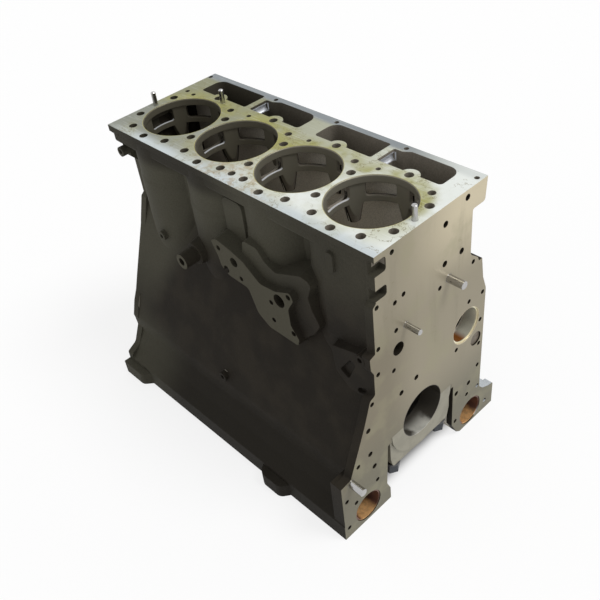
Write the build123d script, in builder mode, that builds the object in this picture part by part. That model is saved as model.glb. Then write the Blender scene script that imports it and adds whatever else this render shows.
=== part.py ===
from build123d import *
import os

# Four-cylinder in-line engine block for wet liners, with its main bearing caps, bushes,
# cam bearings, dowels, pins and plugs. Millimetres. The origin is on the crank axis at
# the middle of the cylinder row, +X points to the timing end, +Z to the cylinder head.

os.makedirs("parts", exist_ok=True)

# Cylinder row
bore_pitch = 151.0
bore_count = 4
register_dia = 139.1  # upper liner register, just under the deck
register_depth = 13.0
register_chamfer = 1.3
seat_dia = 132.0  # lower liner seat
seat_top_depth = 185.0
seat_length = 50.0

# Overall casting
deck_height = 386.0  # crank axis to deck
skirt_depth = 154.0  # crank axis to sump face
front_overhang = 93.5  # last cylinder axis to timing face
rear_overhang = 91.5  # first cylinder axis to flywheel face
deck_left = 100.0
deck_right = 152.0
deck_lip = 12.0
deck_corner_radius = 12.0
front_flange = 16.0
rear_flange = 16.0

# Water jacket
jacket_radius = 87.0
jacket_wall = 9.6
jacket_wall_high = 8.2  # above the step under the deck
step_depth = 94.0
step_height = 8.0
jacket_right = 80.0
jacket_end_wall = 12.0
window_count = 6  # round each liner
window_width = 49.0
window_height = 24.0
window_corner = 5.0
band_height = 10.0
ring_wall = 8.5
liner_gap = 1.95  # beside the liner under its register
post_radius = 18.0
post_length = 37.0  # below the ring
post_end_radius = 10.5
valley_depth = 66.0

# Crankshaft bearings
main_bore_dia = 97.1
web_thickness = 26.0
cap_length = 38.0
cap_half_width = 79.0
cap_height = 84.0
cap_register = 11.0
cap_boss_radius = 78.0
saddle_radius = 74.0
saddle_height = 34.0
cap_shoulder = 4.0
cap_fillet = 24.0
cap_bolt_offset = 62.0
cap_bolt_dia = 18.0
cap_bolt_depth = 62.0
cap_bolt_head = 26.5  # across flats
cap_bolt_head_height = 20.0
cap_washer_dia = 33.0
cap_washer_height = 5.0
bolt_hole_clearance = 0.5
leg_slot_left = 95.0
leg_slot_right = 85.0

# Camshaft and balancer shafts
cam_y = 115.6
cam_z = 113.0
cam_bearing_bore = 64.6
cam_bearing_wall = 2.6
cam_bearing_length = 22.0
cam_bearing_inset = 3.0
cam_plug_thickness = 4.0
balancer_left_y = -144.0
balancer_left_z = -117.5
balancer_right_y = 140.0
balancer_right_z = -119.6
bush_bore = 55.7
bush_wall = 2.8
bush_length = 28.0
bush_inset = 1.5
fit_gap = 0.05

# Pushrod pockets and lifters
pocket_inner = 90.0
pocket_outer = 140.0
pocket_floor_depth = 208.0
pocket_end_gap = 20.0  # middle land to the first pocket edge
pocket_far_edge = 282.0
pocket_rib = 13.0
pocket_step = 8.0
pocket_groove_radius = 7.5
pocket_groove_depth = 12.5  # from the deck to the groove's middle
pocket_groove_bite = 3.0
pocket_boss_radius = 17.0
lifter_dia = 28.0
lifter_spacing = 48.0

# Head bolts, coolant holes and dowels in the deck
head_bolt_dia = 15.0
head_bolt_depth = 70.0
head_bolt_outer = 85.2
head_bolt_inner = 38.5
coolant_dia = 15.0
coolant_offset = 47.5
coolant_y = -74.3
oil_hole_dia = 13.0
face_hole_depth = 20.0
oil_hole_offset = 57.3
oil_hole_y = 66.7
small_deck_dia = 8.5
dowel_dia = 9.0
dowel_height = 25.0
dowel_seat = 11.0
press_step = 0.3  # how much wider the pressed end of a dowel or pin is
dowel_end_x = 307.0
side_dowel_x = -206.0
side_dowel_y = 79.0

# Left side: machined pad, tube boss, lugs
pad_face = 118.0
pad_body_face = 106.0
tube_boss_reach = 138.0
tube_hub_reach = 108.0
housing_face = 98.0
housing_low = 190.0
column_face = 88.0
rail_edge = 203.0
rail_height = 36.0
lug_edge = 219.0
crankcase_wall = 9.0
rail_hole_dia = 11.0
rail_hole_pitch = 82.0

# Derived places
deck_z = deck_height
sump_z = -skirt_depth
first_bore_x = -bore_pitch * (bore_count - 1) / 2
bore_xs = [first_bore_x + bore_pitch * i for i in range(bore_count)]
front_x = bore_xs[-1] + front_overhang
rear_x = bore_xs[0] - rear_overhang
block_length = front_x - rear_x
web_xs = [x + bore_pitch / 2 for x in bore_xs[:-1]]
row_gap_xs = [bore_xs[0] - bore_pitch / 2] + web_xs + [bore_xs[-1] + bore_pitch / 2]
cap_xs = [rear_x + cap_length / 2] + web_xs + [front_x - cap_length / 2]
scallop_radius = jacket_radius + jacket_wall
seat_z = deck_z - seat_top_depth
bay_top = seat_z - seat_length
jacket_top = deck_z - register_depth
ledge = 1.0  # flat left under the register, over the windows
window_top = jacket_top - ledge
ring_bottom = window_top - window_height - band_height
ring_radius = register_dia / 2 + ring_wall
liner_space_radius = register_dia / 2 + liner_gap
step_z = deck_z - step_depth
lip_z = deck_z - deck_lip
cam_housing_dia = cam_bearing_bore + 2 * (cam_bearing_wall + fit_gap)
bush_housing_dia = bush_bore + 2 * (bush_wall + fit_gap)
bay_half_length = (bore_pitch - web_thickness) / 2
pocket_floor_z = deck_z - pocket_floor_depth
left_plane = Plane.XZ
step_taper = 10.0
middle_x = (rear_x + front_x) / 2
bore_points = [(x, 0) for x in bore_xs]
cut_margin = 1.0  # how far a cut runs past the face it opens
balancer_points = [(balancer_left_y, balancer_left_z), (balancer_right_y, balancer_right_z)]
saddle_margin = 7.0
arch_margin = 2.0
chamber_inner = 60.0
coolant_depth = register_depth + 8
pad_body_depth = 46.0
pad_depth = 50.0
tube_bore_depth = 40.0
small_boss_length = 30.0
small_bore_depth = 14.0
rail_hole_depth = 24.0
lug_height = 30.0
foot_block_top = -15.0


# Section of the crankcase between its end flanges, seen from the timing end
crankcase_outline = [
    (-58, 235),
    (-88, 173),
    (-132, 58),
    (-164, -28),
    (-162, -62),
    (-180, -93),
    (-rail_edge, sump_z + rail_height),
    (-rail_edge, sump_z),
    (208, sump_z),
    (206, -103),
    (172, -86),
    (160, -62),
    (160, 165),
    (deck_right - 2, 235),
]
crankcase_radii = [0, 20, 0, 18, 12, 25, 4, 0, 0, 5, 25, 25, 20, 0]

bay_outline = [
    (-78, bay_top),
    (-96, 128),
    (-154, -30),
    (-152, -66),
    (-176, -108),
    (-176, sump_z - 10),
    (180, sump_z - 10),
    (180, -112),
    (160 - crankcase_wall, -70),
    (160 - crankcase_wall, bay_top),
]
bay_radii = [8, 20, 14, 14, 12, 0, 0, 18, 20, 12]

front_outline = [
    (-deck_left, deck_z),
    (-deck_left, 306),
    (-107, 301),
    (-107, 214),
    (-119, 211),
    (-118, 188),
    (-112, 176),
    (-112, 131),
    (-124, 127),
    (-140, 81),
    (-179, -12),
    (-202, -15),
    (-202, sump_z),
    (-87, sump_z),
    (-87, -126),
    (-leg_slot_left, -106),
    (-89, -cap_register),
    (leg_slot_right, -cap_register),
    (leg_slot_right, -116),
    (100, -146),
    (118, sump_z),
    (211, sump_z),
    (211, -101),
    (184, -96),
    (166, -76),
    (166, 164),
    (138, 244),
    (118, 260),
    (118, 345),
    (148, 345),
    (deck_right, deck_z),
]
front_radii = [0, 4, 5, 3, 3, 4, 8, 6, 8, 0, 4, 2, 0, 0, 6, 8, 6, 4, 8, 10, 12, 0, 4]
front_radii += [10, 12, 20, 12, 12, 4, 5, 0]

rear_outline = [
    (-deck_left, deck_z),
    (-deck_left, lip_z),
    (-84, 354),
    (-79, 316),
    (-60, 296),
    (-54, 238),
    (-73, 222),
    (-89, 172),
    (-110, 97),
    (-154, 6),
    (-165, -27),
    (-160, -50),
    (-180, -93),
    (-rail_edge, -106),
    (-rail_edge, sump_z),
    (208, sump_z),
    (206, -103),
    (172, -86),
    (164, -62),
    (164, 165),
    (deck_right - 6, 235),
    (deck_right, lip_z),
    (deck_right, deck_z),
]
rear_radii = [0, 4, 12, 10, 12, 10, 6, 20, 0, 10, 8, 10, 16, 6, 0, 0, 5, 25, 25, 20, 20, 2, 0]


def pocket_outline(x_low, x_high, stepped):
    """Corner points and radii of one pushrod pocket seen from above"""
    if stepped:
        points = [
            (x_low, pocket_inner),
            (x_high, pocket_inner),
            (x_high, pocket_outer),
            (x_low + 30, pocket_outer),
            (x_low + 16, pocket_outer - pocket_step),
            (x_low, pocket_outer - pocket_step),
        ]
        return points, [4, 7, 20, 12, 12, 4]
    points = [
        (x_low, pocket_inner),
        (x_high, pocket_inner),
        (x_high, pocket_outer),
        (x_low, pocket_outer),
    ]
    return points, [6, 4, 4, 18]


pocket_spans = [
    (-pocket_far_edge, web_xs[0] - pocket_rib / 2, False),
    (web_xs[0] + pocket_rib / 2, -pocket_end_gap, True),
    (pocket_end_gap, web_xs[-1] - pocket_rib / 2, False),
    (web_xs[-1] + pocket_rib / 2, pocket_far_edge, True),
]

head_bolt_points = [(x, side * head_bolt_outer) for x in bore_xs for side in (-1, 1)]
head_bolt_points += [(x, side * head_bolt_inner) for x in row_gap_xs for side in (-1, 1)]
coolant_points = [(x + side * coolant_offset, coolant_y) for x in bore_xs for side in (-1, 1)]
oil_points = [(x + oil_hole_offset, oil_hole_y) for x in bore_xs] + [(0, coolant_y)]
small_deck_points = [(x - 49, 71) for x in bore_xs[1:]] + [(-302, 71), (-280, 68)]
cover_points = [(-313, 137), (-130, 142), (21, 143), (173, 143), (311, 137)]

dowel_points = [(-dowel_end_x, 0), (dowel_end_x, 0), (side_dowel_x, side_dowel_y)]

# Accessory pad on the left side, in (X, Z)
pad_outline = [
    (-33, 268),
    (-17, 276),
    (16, 269),
    (46, 260),
    (84, 232),
    (120, 235),
    (156, 250),
    (162, 236),
    (147, 212),
    (148, 178),
    (164, 156),
    (160, 141),
    (92, 143),
    (66, 160),
    (50, 206),
    (2, 209),
    (-16, 222),
    (-20, 240),
]
pad_radii = [6, 8, 20, 16, 18, 14, 5, 6, 18, 12, 6, 6, 14, 18, 10, 14, 8, 8]
pad_body_outline = [
    (40, 292),
    (74, 291),
    (88, 272),
    (112, 261),
    (172, 284),
    (196, 280),
    (184, 248),
    (190, 226),
    (205, 200),
    (190, 176),
    (152, 140),
    (60, 150),
    (20, 210),
]
pad_holes = [
    (10, 20, [(-15, 259), (151, 239), (152, 163)]),
    (18, 30, [(22, 246)]),
    (14, 24, [(-3, 220)]),
    (9, 18, [(35, 218), (106, 205), (106, 167)]),
    (25, 36, [(127, 219)]),
]
tube_boss_x = -110.5
tube_boss_z = 196.0
tube_boss_dia = 30.0
tube_boss_bore = 15.0
tube_hub_dia = 42.0

# Bosses, column and rib on the left side, in (X, Z)
small_bosses = [(-221, 184, 105), (-303, 334, 98), (299, 197, 119), (-19, -14, 166)]
small_boss_dia = 19.0
small_boss_bore = 9.0
column_x = 3.0
column_half_width = 24.0
column_top = 344.0
column_bottom = 262.0
rib_span = (229, 243)
rib_top = 356.0
rib_bottom = 322.0
rib_reach = 4.5


# Band under the deck's left edge, in (Y, Z)
under_deck_outline = [
    (-deck_left + 2, lip_z),
    (-93, lip_z - 5),
    (-93, lip_z - 22),
    (-82, lip_z - 35),
    (-valley_depth, lip_z - 42),
    (0, lip_z - 42),
    (0, lip_z),
]
under_deck_radii = [0, 4, 7, 8, 8, 0, 0]

# Front housing on the left side, in (Y, Z), and its foot, in (X, Z)
housing_start = 214.0
housing_outline = [
    (-60, lip_z),
    (-housing_face, lip_z),
    (-housing_face, housing_low),
    (-housing_face + 4, housing_low - 5),
    (-housing_face + 4, 140),
    (-60, 140),
]
housing_radii = [0, 0, 2, 3, 0, 0]
foot_face = 112.0
foot_outline = [
    (232, 184),
    (front_x - front_flange + 3, 204),
    (front_x - front_flange + 3, 102),
    (274, 104),
    (240, 132),
]
foot_pocket_depth = 6.0
foot_pockets = [
    [(248, 142), (272, 176), (283, 171), (266, 131)],
    [(281, 112), (286, 125), (305, 135), (303, 120)],
]
lug_outlines = [
    (
        [
            (108, -rail_edge + 8),
            (126, -lug_edge),
            (172, -lug_edge),
            (190, -rail_edge + 8),
        ],
        [0, 16, 16, 0],
    ),
    (
        [
            (rear_x, -rail_edge + 8),
            (rear_x, -lug_edge),
            (-256, -lug_edge),
            (-234, -rail_edge + 8),
        ],
        [0, 3, 16, 0],
    ),
]

# Holes in the timing face, in (Y, Z), grouped by diameter and depth
idler_point = (145, 62)
idler_dia = 28.0
idler_plug_depth = 14.0
idler_plug_inset = 2.5
front_holes = [
    (11, 24, [(53, 354), (53, 282), (94, 282), (104, 373)]),
    (
        8.5,
        face_hole_depth,
        [
            (-64, 374),
            (-99, 298),
            (-61, 282),
            (-42, 286),
            (-60, 228),
            (-100, 219),
            (42, 242),
            (126, 242),
            (-103, 169),
            (-68, 150),
            (120, 163),
            (157, 160),
            (155, 100),
            (-120, 117),
            (-160, 3),
            (-192, -57),
            (-171, -81),
            (-118, -71),
            (-192, -129),
            (90, 75),
            (155, 44),
            (155, -10),
            (127, -65),
            (159, -68),
            (95, -111),
            (187, -131),
        ],
    ),
    (10, 22, [(-15, 93), (-52, 87), (-132, 66), (-131, 8), (-123, -30), (95, -37), (131, -38)]),
    (24, 60, [(-56, 188)]),
    (idler_dia, idler_plug_depth + 0.5, [idler_point]),
]
notch_spans = [(352, 376), (309, 328)]
notch_depth = 23.0
notch_corner = 5.0
notch_length = 12.0

# Holes in the flywheel face, in (Y, Z)
rear_hole_dia = 12.0
rear_hole_points = [
    (-70, 190),
    (-106, 70),
    (-140, -20),
    (-186, -70),
    (-188, -138),
    (148, 190),
    (146, 40),
    (146, -40),
    (188, -70),
    (188, -138),
    (-20, 250),
    (50, 250),
]
rail_y_left = -190.0
rail_y_right = 194.0
rail_hole_points = [
    (x, y)
    for y in (rail_y_left, rail_y_right)
    for x in [rail_hole_pitch * (i - 3.5) for i in range(8)]
]

# Openings at the bearings, in (Y, Z)
web_opening_outline = [
    (-150, sump_z - 10),
    (-170, -100),
    (-146, -52),
    (-100, -28),
    (-86, -cap_register),
    (86, -cap_register),
    (104, -28),
    (148, -48),
    (172, -100),
    (180, sump_z - 10),
]
web_opening_radii = [0, 10, 20, 12, 4, 4, 12, 20, 12, 0]
arch_outline = [
    (-87, sump_z - 1),
    (-87, -126),
    (-leg_slot_left, -106),
    (-89, -cap_register),
    (leg_slot_right, -cap_register),
    (leg_slot_right, -116),
    (100, -146),
    (112, sump_z - 1),
]

# Pins on the timing face: Y, Z, diameter and reach
front_pins = [(64, 248, 14, 30), (-38, 224, 10, 28), (-178, -22, 14, 27)]
pin_seat = 14.0
rear_dowel_dia = 16.0
rear_dowel_reach = 14.0
rear_dowel_points = [(-125, -42), (134, 8)]
core_plug_dia = 44.0
core_plug_depth = 10.0
core_plug_points = [(-30, 270), (40, 270)]

# Windows of one liner's ring
with BuildPart() as window:
    with BuildSketch(Plane.YZ.offset(liner_space_radius - ring_wall)) as window_section:
        with Locations((0, window_top - window_height / 2)):
            RectangleRounded(window_width, window_height, window_corner)
    extrude(amount=2 * ring_wall + 2)
with BuildPart() as window_ring:
    with PolarLocations(0, window_count):
        add(window.part)

# Water space round the liners, between the deck and the lower seats
with BuildPart() as water_space:
    with BuildSketch(Plane.XY.offset(seat_z)) as jacket_section:
        with Locations(*bore_points):
            Circle(jacket_radius)
        with Locations((middle_x, (jacket_right - valley_depth + jacket_wall) / 2)):
            Rectangle(
                block_length - 2 * jacket_end_wall,
                jacket_right + valley_depth - jacket_wall,
            )
        with Locations((middle_x, (jacket_right - jacket_radius) / 2)):
            Rectangle(
                block_length - 2 * jacket_end_wall,
                jacket_right + jacket_radius,
                mode=Mode.INTERSECT,
            )
    extrude(amount=jacket_top - seat_z)
    with BuildSketch(Plane.XY.offset(jacket_top)) as ring_section:
        with Locations(*bore_points):
            Circle(ring_radius)
        with Locations(*head_bolt_points):
            Circle(post_radius)
    extrude(amount=ring_bottom - jacket_top, mode=Mode.SUBTRACT)
    with Locations(*[(x, y, ring_bottom) for x, y in head_bolt_points]):
        Cone(
            post_end_radius,
            post_radius,
            post_length,
            align=(Align.CENTER, Align.CENTER, Align.MAX),
            mode=Mode.SUBTRACT,
        )
    with BuildSketch(Plane.XY.offset(seat_z)) as liner_section:
        with Locations(*bore_points):
            Circle(liner_space_radius)
    extrude(amount=jacket_top - seat_z)
    with Locations(*[(x, 0, 0) for x in bore_xs]):
        add(window_ring.part)

# Crankcase bays, round the bearing saddles, with every bearing bore and cap seat
with BuildPart() as bay:
    with BuildSketch(Plane.YZ.offset(-bay_half_length)) as bay_section:
        with BuildLine():
            FilletPolyline(*bay_outline, radius=bay_radii, close=True)
        make_face()
    extrude(amount=2 * bay_half_length)
with BuildPart() as web_opening:
    with BuildSketch(Plane.YZ.offset(-web_thickness / 2)) as web_opening_section:
        with BuildLine():
            FilletPolyline(*web_opening_outline, radius=web_opening_radii, close=True)
        make_face()
    extrude(amount=web_thickness)
with BuildPart() as saddle:
    with BuildSketch(Plane.YZ.offset(-cap_length / 2)) as saddle_section:
        Circle(saddle_radius)
        with Locations((0, saddle_height / 2)):
            Rectangle(2 * (cap_half_width + saddle_margin), saddle_height)
        with Locations((0, -saddle_radius)):
            Rectangle(4 * saddle_radius, 2 * saddle_radius, mode=Mode.SUBTRACT)
    extrude(amount=cap_length)
with BuildPart() as end_arch:
    with BuildSketch(Plane.YZ.offset(-cap_length / 2 - arch_margin)) as arch_section:
        with BuildLine():
            Polyline(*arch_outline, close=True)
        make_face()
    extrude(amount=cap_length + 2 * arch_margin)
with BuildPart() as crank_space:
    with Locations(*[(x, 0, 0) for x in bore_xs]):
        add(bay.part)
    with Locations(*[(x, 0, 0) for x in web_xs]):
        add(web_opening.part)
    with Locations(*[(x, 0, 0) for x in cap_xs]):
        add(saddle.part, mode=Mode.SUBTRACT)
    with Locations((cap_xs[0], 0, 0), (cap_xs[-1], 0, 0)):
        add(end_arch.part)
    with Locations(*[(x, 0, 0) for x in cap_xs]):
        Box(
            cap_length + 2 * fit_gap,
            2 * (cap_half_width + fit_gap),
            cap_register,
            align=(Align.CENTER, Align.CENTER, Align.MAX),
        )
    with BuildSketch(Plane.YZ.offset(rear_x - cut_margin)) as bearing_line_section:
        Circle(main_bore_dia / 2)
        with Locations((cam_y, cam_z)):
            Circle(cam_housing_dia / 2)
        with Locations(*balancer_points):
            Circle(bush_housing_dia / 2)
    extrude(amount=block_length + 2 * cut_margin)

# Pushrod pockets with their milled grooves, and the lifter bores under them
with BuildPart() as pocket_space:
    for x_low, x_high, stepped in pocket_spans:
        points, radii = pocket_outline(x_low, x_high, stepped)
        with BuildSketch(Plane.XY.offset(deck_z + cut_margin)) as pocket_section:
            with BuildLine():
                FilletPolyline(*points, radius=radii, close=True)
            make_face()
            with Locations(*[(x, head_bolt_outer) for x in bore_xs]):
                Circle(pocket_boss_radius, mode=Mode.SUBTRACT)
        extrude(amount=-pocket_floor_depth - cut_margin)
        if stepped:
            with BuildSketch(Plane.XZ.offset(-pocket_inner - 1)) as groove_section:
                groove_x = x_low + pocket_groove_radius - pocket_groove_bite
                with Locations((groove_x, deck_z - pocket_groove_depth)):
                    Circle(pocket_groove_radius)
            extrude(amount=pocket_inner - pocket_outer + pocket_step + 2)
    with BuildSketch(Plane.XY.offset(pocket_floor_z)) as lifter_section:
        for x in bore_xs:
            with Locations((x - lifter_spacing / 2, cam_y), (x + lifter_spacing / 2, cam_y)):
                Circle(lifter_dia / 2)
    extrude(amount=bay_top - pocket_floor_z - cut_margin)

# Everything that is drilled, bored or milled into the faces
with BuildPart() as drilled:
    with BuildSketch(Plane.XY.offset(deck_z)) as register_section:
        with Locations(*bore_points):
            Circle(register_dia / 2)
    extrude(amount=-register_depth - ledge / 2)
    with Locations(*[(x, 0, deck_z) for x in bore_xs]):
        Cone(
            register_dia / 2,
            register_dia / 2 + register_chamfer,
            register_chamfer,
            align=(Align.CENTER, Align.CENTER, Align.MAX),
        )
    with BuildSketch(Plane.XY.offset(seat_z)) as seat_section:
        with Locations(*bore_points):
            Circle(seat_dia / 2)
    extrude(amount=-seat_length - cut_margin)
    with BuildSketch(Plane.XY.offset(deck_z)) as head_bolt_section:
        with Locations(*head_bolt_points):
            Circle(head_bolt_dia / 2)
    extrude(amount=-head_bolt_depth)
    with BuildSketch(Plane.XY.offset(deck_z)) as coolant_section:
        with Locations(*coolant_points):
            Circle(coolant_dia / 2)
        with Locations(*oil_points):
            Circle(oil_hole_dia / 2)
    extrude(amount=-coolant_depth)
    with BuildSketch(Plane.XY.offset(deck_z)) as small_deck_section:
        with Locations(*small_deck_points, *cover_points):
            Circle(small_deck_dia / 2)
    extrude(amount=-face_hole_depth)
    with BuildSketch(Plane.XY.offset(deck_z)) as dowel_hole_section:
        with Locations(*dowel_points):
            Circle(dowel_dia / 2 + press_step + fit_gap)
    extrude(amount=-dowel_seat - 1)
    # timing face holes and notches, and the seats of its pins
    for diameter, depth, points in front_holes:
        with BuildSketch(Plane.YZ.offset(front_x)) as front_hole_section:
            with Locations(*points):
                Circle(diameter / 2)
        extrude(amount=-depth)
    with BuildSketch(Plane.YZ.offset(front_x)) as notch_section:
        for z_low, z_high in notch_spans:
            with Locations((-deck_left, (z_low + z_high) / 2)):
                RectangleRounded(2 * notch_depth, z_high - z_low, notch_corner)
    extrude(amount=-notch_length)
    with BuildSketch(Plane.YZ.offset(front_x)) as pin_seat_section:
        for y, z, diameter, reach in front_pins:
            with Locations((y, z)):
                Circle(diameter / 2 + press_step + fit_gap)
    extrude(amount=-pin_seat - 1)
    # pad, tube boss and small boss holes
    for diameter, depth, points in pad_holes:
        with BuildSketch(left_plane.offset(pad_face)) as pad_hole_section:
            with Locations(*points):
                Circle(diameter / 2)
        extrude(amount=-depth)
    with BuildSketch(left_plane.offset(tube_boss_reach)) as tube_hole_section:
        with Locations((tube_boss_x, tube_boss_z)):
            Circle(tube_boss_bore / 2)
    extrude(amount=-tube_bore_depth)
    for x, z, reach in small_bosses:
        with BuildSketch(left_plane.offset(reach)) as small_hole_section:
            with Locations((x, z)):
                Circle(small_boss_bore / 2)
        extrude(amount=-small_bore_depth)
    # flywheel face holes and the seats of its dowels and plugs
    with BuildSketch(Plane.YZ.offset(rear_x)) as rear_hole_section:
        with Locations(*rear_hole_points):
            Circle(rear_hole_dia / 2)
    extrude(amount=face_hole_depth)
    with BuildSketch(Plane.YZ.offset(rear_x)) as rear_seat_section:
        with Locations(*rear_dowel_points):
            Circle(rear_dowel_dia / 2 + fit_gap)
    extrude(amount=pin_seat + 1)
    with BuildSketch(Plane.YZ.offset(rear_x)) as core_hole_section:
        with Locations(*core_plug_points):
            Circle(core_plug_dia / 2 + fit_gap)
    extrude(amount=jacket_end_wall + 4)
    # sump face and main cap bolt holes
    with BuildSketch(Plane.XY.offset(sump_z)) as rail_hole_section:
        with Locations(*rail_hole_points):
            Circle(rail_hole_dia / 2)
    extrude(amount=rail_hole_depth)
    with BuildSketch(Plane.XY.offset(-cap_register)) as cap_bolt_section:
        with Locations(*[(x, s * cap_bolt_offset) for x in cap_xs for s in (-1, 1)]):
            Circle((cap_bolt_dia + bolt_hole_clearance) / 2)
    extrude(amount=cap_register + cap_bolt_depth + 4)

with BuildPart() as block:
    # crankcase, water jacket and deck as one mass
    with BuildSketch(Plane.YZ.offset(rear_x)) as crankcase_section:
        with BuildLine():
            FilletPolyline(*crankcase_outline, radius=crankcase_radii, close=True)
        make_face()
    extrude(amount=block_length)
    with BuildSketch(Plane.XY.offset(bay_top - 60)) as cylinder_section:
        with Locations(*bore_points):
            Circle(scallop_radius)
        with Locations((middle_x, (pocket_inner - valley_depth) / 2)):
            Rectangle(block_length, pocket_inner + valley_depth)
        with Locations((middle_x, 0)):
            Rectangle(block_length, 4 * scallop_radius, mode=Mode.INTERSECT)
    extrude(amount=step_z - bay_top + 60)
    # its walls step in under the deck
    with BuildSketch(Plane.XY.offset(step_z)) as step_section:
        with Locations(*bore_points):
            Circle(scallop_radius)
        with Locations((middle_x, 0)):
            Rectangle(block_length, 4 * scallop_radius, mode=Mode.INTERSECT)
    extrude(amount=step_height, taper=step_taper)
    with BuildSketch(Plane.XY.offset(step_z)) as high_section:
        with Locations(*bore_points):
            Circle(jacket_radius + jacket_wall_high)
        with Locations((middle_x, (pocket_inner - valley_depth) / 2)):
            Rectangle(block_length, pocket_inner + valley_depth)
        with Locations((middle_x, 0)):
            Rectangle(block_length, 4 * scallop_radius, mode=Mode.INTERSECT)
    extrude(amount=lip_z - step_z)
    # pushrod chamber along the right side
    chamber_width = deck_right - 2 - chamber_inner
    with BuildSketch(Plane.XY.offset(bay_top)) as chamber_section:
        with Locations((middle_x - 7, chamber_inner + chamber_width / 2)):
            RectangleRounded(block_length - 30, chamber_width, 16)
    extrude(amount=lip_z - bay_top)
    # deck plate, rounded at the timing end on the right
    with BuildSketch(Plane.XY.offset(lip_z)) as deck_section:
        with Locations((middle_x, (deck_right - deck_left) / 2)):
            Rectangle(block_length, deck_left + deck_right)
        fillet(deck_section.vertices().sort_by(Axis.Y)[-2:].sort_by(Axis.X)[-1], deck_corner_radius)
    extrude(amount=deck_lip)
    # thick band under its left edge
    with BuildSketch(Plane.YZ.offset(rear_x)) as under_deck_section:
        with BuildLine():
            FilletPolyline(*under_deck_outline, radius=under_deck_radii, close=True)
        make_face()
    extrude(amount=block_length - 4)
    # end flanges
    with BuildSketch(Plane.YZ.offset(front_x - front_flange)) as front_section:
        with BuildLine():
            FilletPolyline(*front_outline, radius=front_radii, close=True)
        make_face()
    extrude(amount=front_flange)
    with BuildSketch(Plane.YZ.offset(rear_x)) as rear_section:
        with BuildLine():
            FilletPolyline(*rear_outline, radius=rear_radii, close=True)
        make_face()
    extrude(amount=rear_flange)
    # front housing on the left side, with a rib under the deck
    with BuildSketch(Plane.YZ.offset(housing_start)) as housing_section:
        with BuildLine():
            FilletPolyline(*housing_outline, radius=housing_radii, close=True)
        make_face()
    extrude(amount=front_x - front_flange + 3 - housing_start)
    with BuildSketch(left_plane.offset(housing_face + rib_reach)) as rib_section:
        with Locations((sum(rib_span) / 2, (rib_top + rib_bottom) / 2)):
            RectangleRounded(rib_span[1] - rib_span[0], rib_top - rib_bottom, 5)
    extrude(amount=-rib_reach - 10, taper=-12)
    # pocketed foot of the housing beside the timing face
    with BuildSketch(left_plane.offset(foot_face)) as foot_section:
        with BuildLine():
            FilletPolyline(*foot_outline, radius=8, close=True)
        make_face()
    extrude(amount=-40, taper=-10)
    with BuildSketch(left_plane.offset(foot_face)) as foot_pocket_section:
        for outline in foot_pockets:
            with BuildLine():
                FilletPolyline(*outline, radius=4, close=True)
            make_face()
    extrude(amount=-foot_pocket_depth, taper=10, mode=Mode.SUBTRACT)
    # column under the deck at the middle of the row
    with BuildSketch(left_plane.offset(column_face)) as column_section:
        with Locations((column_x, (column_top + column_bottom) / 2)):
            RectangleRounded(2 * column_half_width, column_top - column_bottom, 12)
    extrude(amount=-24, taper=-8)

    # machined accessory pad on the left side, with the cast body behind it
    with BuildSketch(left_plane.offset(pad_body_face)) as pad_body_section:
        with BuildLine():
            FilletPolyline(*pad_body_outline, radius=9, close=True)
        make_face()
    extrude(amount=-pad_body_depth, taper=-8)
    with BuildSketch(left_plane.offset(pad_face)) as pad_section:
        with BuildLine():
            FilletPolyline(*pad_outline, radius=pad_radii, close=True)
        make_face()
    extrude(amount=-pad_depth, taper=-6)
    # tube boss on its hub, and small bosses
    with BuildSketch(left_plane.offset(tube_hub_reach)) as hub_section:
        with Locations((tube_boss_x, tube_boss_z)):
            Circle(tube_hub_dia / 2)
    extrude(amount=-pad_body_depth, taper=-10)
    with BuildSketch(left_plane.offset(tube_boss_reach)) as tube_section:
        with Locations((tube_boss_x, tube_boss_z)):
            Circle(tube_boss_dia / 2)
    extrude(amount=-pad_body_depth)
    for x, z, reach in small_bosses:
        with BuildSketch(left_plane.offset(reach)) as small_boss_section:
            with Locations((x, z)):
                Circle(small_boss_dia / 2)
        extrude(amount=-small_boss_length)
    # sump rail lugs on the left side
    with BuildSketch(Plane.XY.offset(sump_z)) as lug_section:
        for outline, radii in lug_outlines:
            with BuildLine():
                FilletPolyline(*outline, radius=radii, close=True)
            make_face()
    extrude(amount=lug_height)
    # foot block at the lower left of the timing face
    with Locations((front_x, -rail_edge + 1, foot_block_top)):
        Box(24, 40, foot_block_top - sump_z - 5, align=(Align.MAX, Align.MIN, Align.MAX))

    add(water_space.part, mode=Mode.SUBTRACT)
    add(crank_space.part, mode=Mode.SUBTRACT)
    add(pocket_space.part, mode=Mode.SUBTRACT)
    add(drilled.part, mode=Mode.SUBTRACT)

block.part.label = "block_casting"
export_step(block.part, "parts/block_casting.step")

cap_outline = [
    (-cap_half_width, 0),
    (-cap_half_width, -cap_height + cap_fillet),
    (-cap_half_width + 6, -cap_height),
    (cap_half_width - 6, -cap_height),
    (cap_half_width, -cap_height + cap_fillet),
    (cap_half_width, 0),
]
cap_radii = [0, 8, 6, 6, 8, 0]

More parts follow.
